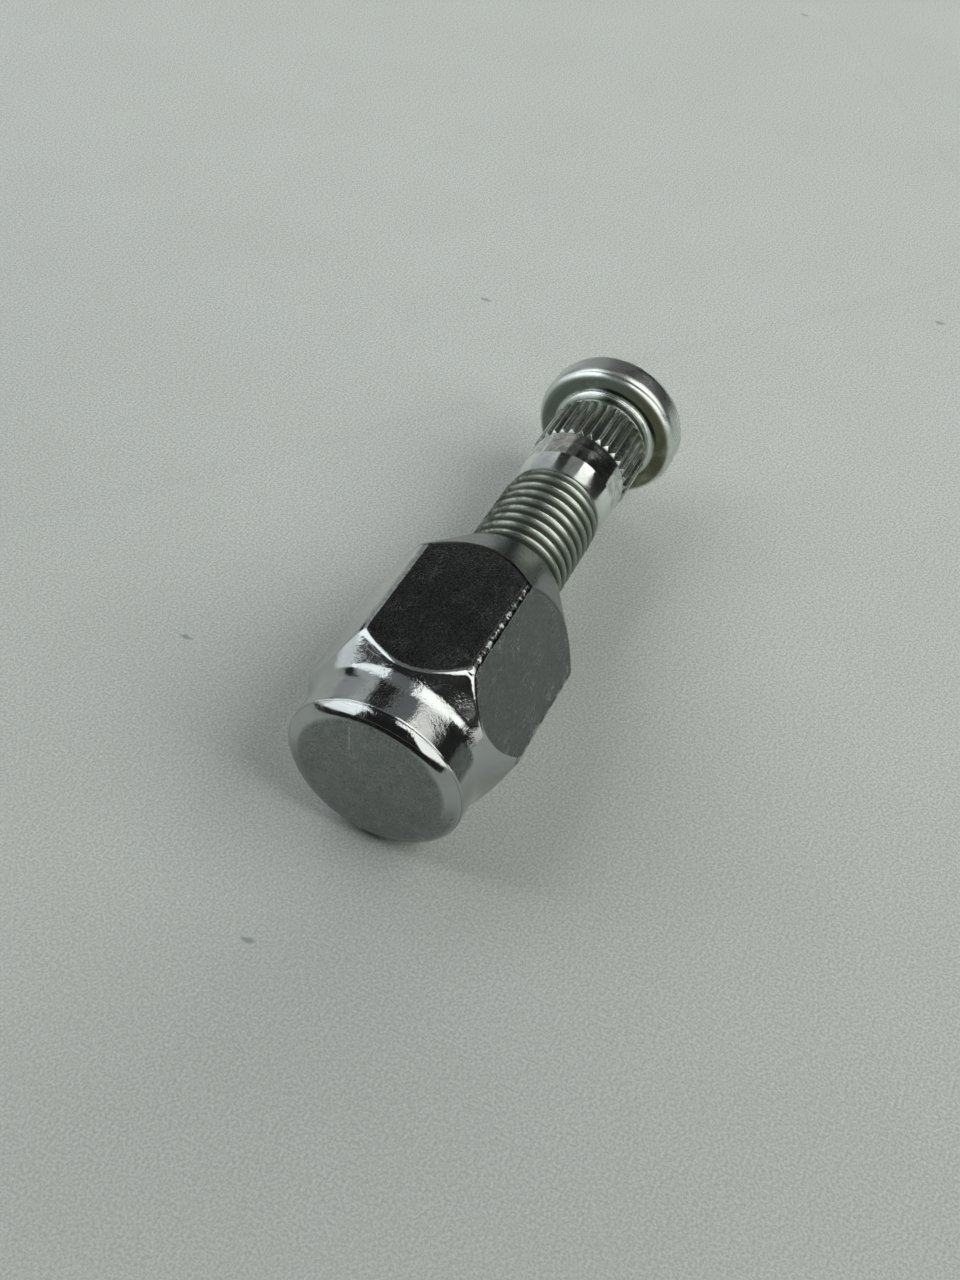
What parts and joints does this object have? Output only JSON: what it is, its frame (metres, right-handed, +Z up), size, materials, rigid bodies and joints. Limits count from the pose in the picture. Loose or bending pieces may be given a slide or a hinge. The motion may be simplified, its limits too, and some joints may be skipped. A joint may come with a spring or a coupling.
{
  "type": "wheel bolt",
  "caption": "Press-in wheel stud with a splined shank and round head, carrying a closed-end hexagonal lug nut with a conical seat.",
  "frame": {"origin": "middle of the underside of the part's box, on the flat that the nut rests on", "axes": "+X along the stud towards its head, +Z up from the flat that it rests on, +Y across the nut's corners"},
  "size_m": [0.0666, 0.0236, 0.0208],
  "materials": {
    "stud_metal": "zinc-plated, satin bright",
    "nut_chrome": "polished, with fine handling scratches"
  },
  "bodies": {
    "stud": {"wheel_stud": "stud_metal"},
    "nut": {"lug_nut": "nut_chrome"}
  },
  "joints": [
    {"name": "nut_travel", "type": "slide", "parent": "stud", "child": "nut", "axis": [1, 0, 0], "range_m": [-0.015, 0.0135]}
  ]
}
